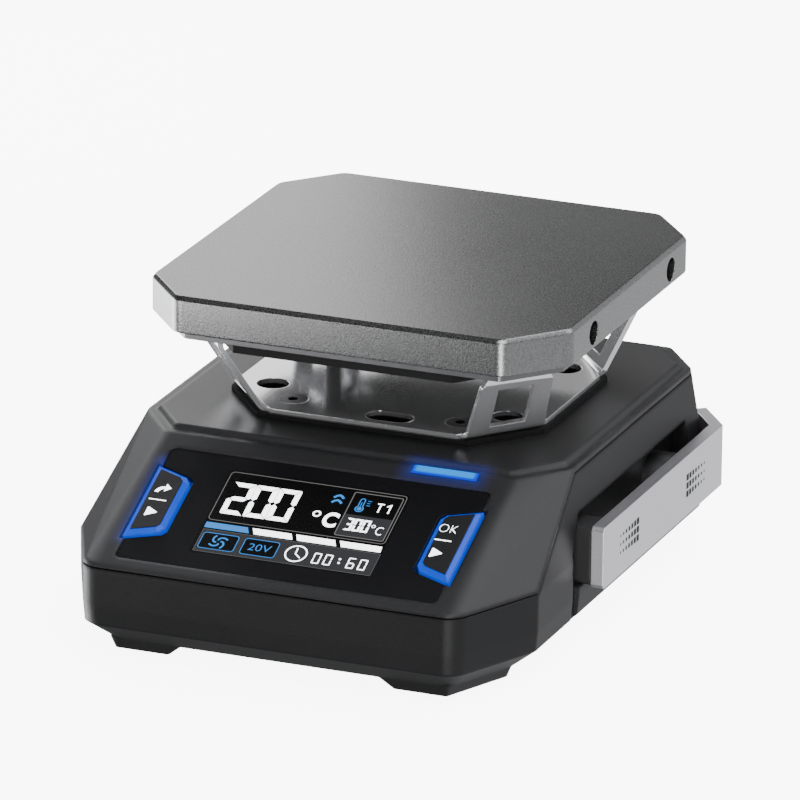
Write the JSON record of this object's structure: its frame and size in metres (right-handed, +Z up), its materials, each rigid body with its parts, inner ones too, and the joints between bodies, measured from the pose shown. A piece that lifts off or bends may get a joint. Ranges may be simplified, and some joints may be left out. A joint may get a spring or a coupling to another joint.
{
  "type": "desktop heating platform",
  "caption": "Small desktop hot plate with cut corners on a folded steel bracket, above a wedge-shaped control case with a screen, rocker keys and a side bar.",
  "frame": {"origin": "on the surface the part stands on, under the middle of the whole device", "axes": "+Z up, square to the heating plate, -Y towards the user and the screen, +X towards the side bar"},
  "size_m": [0.0794, 0.1006, 0.0507],
  "materials": {
    "plate_aluminium": "bead-blasted",
    "polished_steel": "mirror polish",
    "grey_steel": "plain sheet",
    "screw_steel": "satin",
    "dark_screw_steel": "black oxide",
    "inlet_steel": "plated",
    "bar_aluminium": "fine brushed, anodised",
    "case_black": "fine texture, satin",
    "glass_black": "polished, black printed back",
    "blue_light": "translucent, lit from behind",
    "key_black": "satin gloss",
    "rubber_black": "matt",
    "insulation_black": "matt board",
    "film_brown": "film",
    "lead_sleeve": "woven glass sleeve",
    "board_green": "solder mask",
    "module_black": "moulded",
    "fan_black": "moulded"
  },
  "bodies": {
    "case": {"heating_plate": "plate_aluminium", "heater_film": "film_brown", "clamp_plate": "grey_steel", "insulation_board": "insulation_black", "temperature_probe": "screw_steel", "heater_leads": "lead_sleeve", "lead_grommet": "rubber_black", "support_bracket": "polished_steel", "plate_screws": "screw_steel", "bracket_screws": "dark_screw_steel", "pedestal": "insulation_black", "top_cover": "case_black", "lower_case": "case_black", "foot_pads": "rubber_black", "case_screws": "dark_screw_steel", "display_glass": "glass_black", "display_module": "module_black", "light_bar": "blue_light", "key_pins": "screw_steel", "key_switches": "module_black", "front_board": "board_green", "board_screws": "screw_steel", "control_board": "board_green", "board_parts": "module_black", "power_inlet": "inlet_steel", "fan_frame": "fan_black", "side_bar": "bar_aluminium", "bar_block": "case_black", "bar_post": "grey_steel", "bar_screws": "screw_steel", "fan_screws": "screw_steel", "buzzer": "module_black"},
    "left_key": {"left_key": "blue_light", "left_key_face": "key_black"},
    "right_key": {"right_key": "blue_light", "right_key_face": "key_black"},
    "fan": {"fan_rotor": "fan_black", "fan_shaft": "screw_steel"}
  },
  "joints": [
    {"name": "left_key_press", "type": "hinge", "parent": "case", "child": "left_key", "pos_m": [-0.0256, -0.03465, 0.01802], "axis": [1, 0, 0], "range_deg": [-2, 2], "stiffness_Nm_per_rad": 0.02},
    {"name": "right_key_press", "type": "hinge", "parent": "case", "child": "right_key", "pos_m": [0.0221, -0.03465, 0.01802], "axis": [1, 0, 0], "range_deg": [-2, 2], "stiffness_Nm_per_rad": 0.02},
    {"name": "fan_spin", "type": "hinge", "parent": "case", "child": "fan", "pos_m": [-0.00175, 0.0272, 0.01], "axis": [0, 0, 1], "continuous": true}
  ]
}
